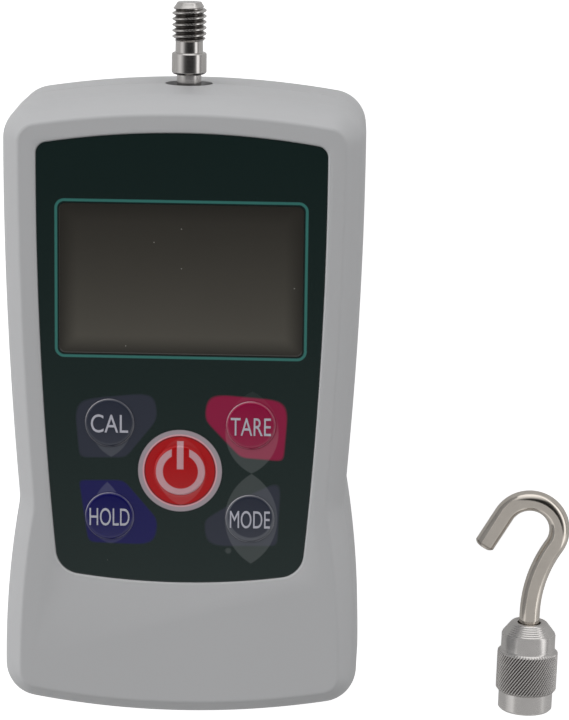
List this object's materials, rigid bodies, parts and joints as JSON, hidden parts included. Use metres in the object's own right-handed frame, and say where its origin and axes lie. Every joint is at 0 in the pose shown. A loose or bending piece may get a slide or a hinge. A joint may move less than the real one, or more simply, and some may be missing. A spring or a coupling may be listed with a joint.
{
  "type": "digital force gauge",
  "caption": "Hand-held digital force gauge with a display, film keys and a threaded measuring shaft, and a separate screw-on hook",
  "frame": {"origin": "middle of the flat back of the housing", "axes": "+Z out of the display, +Y along the measuring shaft out of the top end, +X to the right of the display"},
  "size_m": [0.0997, 0.1288, 0.0322],
  "materials": {
    "shell_plastic": "light grey, fine moulded texture",
    "panel_film": "dark printed film, satin",
    "window_plastic": "clear, over an unlit display",
    "foam": "closed-cell foam",
    "display_glass": "polished",
    "light_guide": "milky, translucent",
    "contact_rubber": "matte silicone",
    "board": "green solder mask",
    "chip": "moulded black",
    "connector": "moulded, off-white",
    "nickel": "nickel plated",
    "key_grey": "printed film dome",
    "key_crimson": "printed film dome",
    "key_blue": "printed film dome",
    "key_red": "printed film dome in a pale ring",
    "cell_alloy": "milled",
    "gauge_foil": "polyimide film with etched foil",
    "stainless": "turned, bright",
    "brass": "turned",
    "tray_plastic": "moulded black",
    "battery_wrap": "shrink sleeve over a steel can",
    "ribbon": "flat flexible cable",
    "lead_jacket": "soft jacket"
  },
  "bodies": {
    "housing": {"rear_shell": "shell_plastic", "front_shell": "shell_plastic", "panel_overlay": "panel_film", "display_window": "window_plastic", "display_gasket": "foam", "display_glass": "display_glass", "light_guide": "light_guide", "contact_strip_upper": "contact_rubber", "contact_strip_lower": "contact_rubber", "main_board": "board", "mcu_chip": "chip", "converter_chip": "chip", "crystal": "nickel", "cell_connector": "connector", "battery_connector": "connector", "buzzer": "chip", "data_socket": "nickel", "charge_socket": "chip", "snap_dome_upper_left": "nickel", "snap_dome_upper_right": "nickel", "snap_dome_lower_left": "nickel", "snap_dome_lower_right": "nickel", "snap_dome_power": "nickel", "load_cell": "cell_alloy", "strain_gauge_upper": "gauge_foil", "strain_gauge_lower": "gauge_foil", "load_frame": "stainless", "cell_screw_right": "stainless", "cell_screw_left": "stainless", "stand_insert_top_right": "brass", "stand_insert_top_left": "brass", "stand_insert_bottom_right": "brass", "stand_insert_bottom_left": "brass", "case_screw_top_right": "stainless", "case_screw_top_left": "stainless", "case_screw_bottom_right": "stainless", "case_screw_bottom_left": "stainless", "board_screw_top_right": "stainless", "board_screw_top_left": "stainless", "board_screw_bottom_right": "stainless", "board_screw_bottom_left": "stainless", "battery_tray": "tray_plastic", "battery_cell_upper": "battery_wrap", "battery_cell_lower": "battery_wrap", "battery_contact_right": "nickel", "battery_contact_left": "nickel", "sensor_ribbon": "ribbon", "battery_lead": "lead_jacket"},
    "shaft": {"measuring_shaft": "stainless"},
    "upper_left_key": {"key_upper_left": "key_grey"},
    "upper_right_key": {"key_upper_right": "key_crimson"},
    "lower_left_key": {"key_lower_left": "key_blue"},
    "lower_right_key": {"key_lower_right": "key_grey"},
    "power_key": {"key_power": "key_red"},
    "hook_wire": {"hook": "stainless"},
    "coupling": {"hook_coupling": "stainless"}
  },
  "joints": [
    {"name": "shaft_travel", "type": "slide", "parent": "housing", "child": "shaft", "axis": [0, 1, 0], "range_m": [-0.0003, 0.0003], "stiffness_N_per_m": 20000},
    {"name": "upper_left_press", "type": "slide", "parent": "housing", "child": "upper_left_key", "axis": [0, 0, -1], "range_m": [0, 0.0003], "stiffness_N_per_m": 6000},
    {"name": "upper_right_press", "type": "slide", "parent": "housing", "child": "upper_right_key", "axis": [0, 0, -1], "range_m": [0, 0.0003], "stiffness_N_per_m": 6000},
    {"name": "lower_left_press", "type": "slide", "parent": "housing", "child": "lower_left_key", "axis": [0, 0, -1], "range_m": [0, 0.0003], "stiffness_N_per_m": 6000},
    {"name": "lower_right_press", "type": "slide", "parent": "housing", "child": "lower_right_key", "axis": [0, 0, -1], "range_m": [0, 0.0003], "stiffness_N_per_m": 6000},
    {"name": "power_press", "type": "slide", "parent": "housing", "child": "power_key", "axis": [0, 0, -1], "range_m": [0, 0.0003], "stiffness_N_per_m": 6000},
    {"name": "hook_lift", "type": "slide", "parent": "housing", "child": "hook_wire", "axis": [0, 0, 1], "range_m": [0, 0.03]},
    {"name": "coupling_turn", "type": "hinge", "parent": "hook_wire", "child": "coupling", "pos_m": [0.0617, -0.0602, 0.0055], "axis": [0.0227, 0.9997, 0], "continuous": true}
  ]
}
